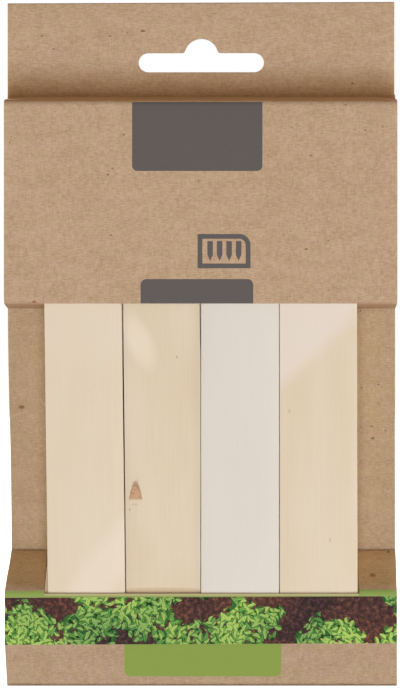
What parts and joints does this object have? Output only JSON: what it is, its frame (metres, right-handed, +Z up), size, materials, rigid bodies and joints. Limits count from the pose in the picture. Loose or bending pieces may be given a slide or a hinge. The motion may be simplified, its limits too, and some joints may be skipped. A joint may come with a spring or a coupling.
{
  "type": "plant label stake pack",
  "caption": "Plain wooden plant labels with pointed ends, held upright in a folded kraft board hang pack with an open window.",
  "frame": {"origin": "middle of the base, on the surface that the pack stands on", "axes": "+Z up along the labels, -Y out of the front of the pack, +X to the right seen from the front"},
  "size_m": [0.103, 0.0134, 0.18],
  "materials": {
    "kraft_board": "matte uncoated kraft board with fine fibres",
    "label_wood": "plain sawn and lightly sanded pale softwood or birch"
  },
  "bodies": {
    "backing": {"back_panel": "kraft_board", "header_back": "kraft_board", "header_front": "kraft_board", "bottom_panel": "kraft_board"},
    "cap": {"top_panel": "kraft_board", "upper_front_panel": "kraft_board"},
    "upper_left_flap": {"upper_left_tab": "kraft_board"},
    "upper_right_flap": {"upper_right_tab": "kraft_board"},
    "pocket": {"lower_front_panel": "kraft_board"},
    "lower_left_flap": {"lower_left_tab": "kraft_board"},
    "lower_right_flap": {"lower_right_tab": "kraft_board"},
    "label_1_1": {"label_1_1": "label_wood"},
    "label_1_2": {"label_1_2": "label_wood"},
    "label_1_3": {"label_1_3": "label_wood"},
    "label_1_4": {"label_1_4": "label_wood"},
    "label_2_1": {"label_2_1": "label_wood"},
    "label_2_2": {"label_2_2": "label_wood"},
    "label_2_3": {"label_2_3": "label_wood"},
    "label_2_4": {"label_2_4": "label_wood"},
    "label_3_1": {"label_3_1": "label_wood"},
    "label_3_2": {"label_3_2": "label_wood"},
    "label_3_3": {"label_3_3": "label_wood"},
    "label_3_4": {"label_3_4": "label_wood"},
    "label_4_1": {"label_4_1": "label_wood"},
    "label_4_2": {"label_4_2": "label_wood"},
    "label_4_3": {"label_4_3": "label_wood"},
    "label_4_4": {"label_4_4": "label_wood"},
    "label_5_1": {"label_5_1": "label_wood"},
    "label_5_2": {"label_5_2": "label_wood"},
    "label_5_3": {"label_5_3": "label_wood"},
    "label_5_4": {"label_5_4": "label_wood"},
    "label_6_1": {"label_6_1": "label_wood"},
    "label_6_2": {"label_6_2": "label_wood"},
    "label_6_3": {"label_6_3": "label_wood"},
    "label_6_4": {"label_6_4": "label_wood"}
  },
  "joints": [
    {"name": "cap_hinge", "type": "hinge", "parent": "backing", "child": "cap", "pos_m": [0, 0.00568, 0.1549], "axis": [-1, 0, 0], "range_deg": [0, 100]},
    {"name": "pocket_hinge", "type": "hinge", "parent": "backing", "child": "pocket", "pos_m": [0, -0.00668, 0], "axis": [1, 0, 0], "range_deg": [0, 90]},
    {"name": "upper_left_crease", "type": "hinge", "parent": "cap", "child": "upper_left_flap", "pos_m": [0, -0.00668, 0.0996], "axis": [-1, 0, 0], "range_deg": [0, 84.8]},
    {"name": "upper_right_crease", "type": "hinge", "parent": "cap", "child": "upper_right_flap", "pos_m": [0, -0.00668, 0.0996], "axis": [-1, 0, 0], "range_deg": [0, 84.8]},
    {"name": "lower_left_crease", "type": "hinge", "parent": "pocket", "child": "lower_left_flap", "pos_m": [0, -0.00668, 0.0245], "axis": [1, 0, 0], "range_deg": [0, 51.1]},
    {"name": "lower_right_crease", "type": "hinge", "parent": "pocket", "child": "lower_right_flap", "pos_m": [0, -0.00668, 0.0245], "axis": [1, 0, 0], "range_deg": [0, 51.1]},
    {"name": "label_1_1_slide", "type": "slide", "parent": "backing", "child": "label_1_1", "axis": [0, 0, 1], "range_m": [0, 0.0012]},
    {"name": "label_1_2_slide", "type": "slide", "parent": "backing", "child": "label_1_2", "axis": [0, 0, 1], "range_m": [0, 0.0012]},
    {"name": "label_1_3_slide", "type": "slide", "parent": "backing", "child": "label_1_3", "axis": [0, 0, 1], "range_m": [0, 0.0012]},
    {"name": "label_1_4_slide", "type": "slide", "parent": "backing", "child": "label_1_4", "axis": [0, 0, 1], "range_m": [0, 0.0012]},
    {"name": "label_2_1_slide", "type": "slide", "parent": "backing", "child": "label_2_1", "axis": [0, 0, 1], "range_m": [0, 0.0016]},
    {"name": "label_2_2_slide", "type": "slide", "parent": "backing", "child": "label_2_2", "axis": [0, 0, 1], "range_m": [0, 0.0016]},
    {"name": "label_2_3_slide", "type": "slide", "parent": "backing", "child": "label_2_3", "axis": [0, 0, 1], "range_m": [0, 0.0016]},
    {"name": "label_2_4_slide", "type": "slide", "parent": "backing", "child": "label_2_4", "axis": [0, 0, 1], "range_m": [0, 0.0016]},
    {"name": "label_3_1_slide", "type": "slide", "parent": "backing", "child": "label_3_1", "axis": [0, 0, 1], "range_m": [0, 0.0021]},
    {"name": "label_3_2_slide", "type": "slide", "parent": "backing", "child": "label_3_2", "axis": [0, 0, 1], "range_m": [0, 0.0021]},
    {"name": "label_3_3_slide", "type": "slide", "parent": "backing", "child": "label_3_3", "axis": [0, 0, 1], "range_m": [0, 0.0021]},
    {"name": "label_3_4_slide", "type": "slide", "parent": "backing", "child": "label_3_4", "axis": [0, 0, 1], "range_m": [0, 0.0021]},
    {"name": "label_4_1_slide", "type": "slide", "parent": "backing", "child": "label_4_1", "axis": [0, 0, 1], "range_m": [0, 0.0025]},
    {"name": "label_4_2_slide", "type": "slide", "parent": "backing", "child": "label_4_2", "axis": [0, 0, 1], "range_m": [0, 0.0025]},
    {"name": "label_4_3_slide", "type": "slide", "parent": "backing", "child": "label_4_3", "axis": [0, 0, 1], "range_m": [0, 0.0025]},
    {"name": "label_4_4_slide", "type": "slide", "parent": "backing", "child": "label_4_4", "axis": [0, 0, 1], "range_m": [0, 0.0025]},
    {"name": "label_5_1_slide", "type": "slide", "parent": "backing", "child": "label_5_1", "axis": [0, 0, 1], "range_m": [0, 0.003]},
    {"name": "label_5_2_slide", "type": "slide", "parent": "backing", "child": "label_5_2", "axis": [0, 0, 1], "range_m": [0, 0.003]},
    {"name": "label_5_3_slide", "type": "slide", "parent": "backing", "child": "label_5_3", "axis": [0, 0, 1], "range_m": [0, 0.003]},
    {"name": "label_5_4_slide", "type": "slide", "parent": "backing", "child": "label_5_4", "axis": [0, 0, 1], "range_m": [0, 0.003]},
    {"name": "label_6_1_slide", "type": "slide", "parent": "backing", "child": "label_6_1", "axis": [0, 0, 1], "range_m": [0, 0.0034]},
    {"name": "label_6_2_slide", "type": "slide", "parent": "backing", "child": "label_6_2", "axis": [0, 0, 1], "range_m": [0, 0.0034]},
    {"name": "label_6_3_slide", "type": "slide", "parent": "backing", "child": "label_6_3", "axis": [0, 0, 1], "range_m": [0, 0.0034]},
    {"name": "label_6_4_slide", "type": "slide", "parent": "backing", "child": "label_6_4", "axis": [0, 0, 1], "range_m": [0, 0.0034]}
  ]
}
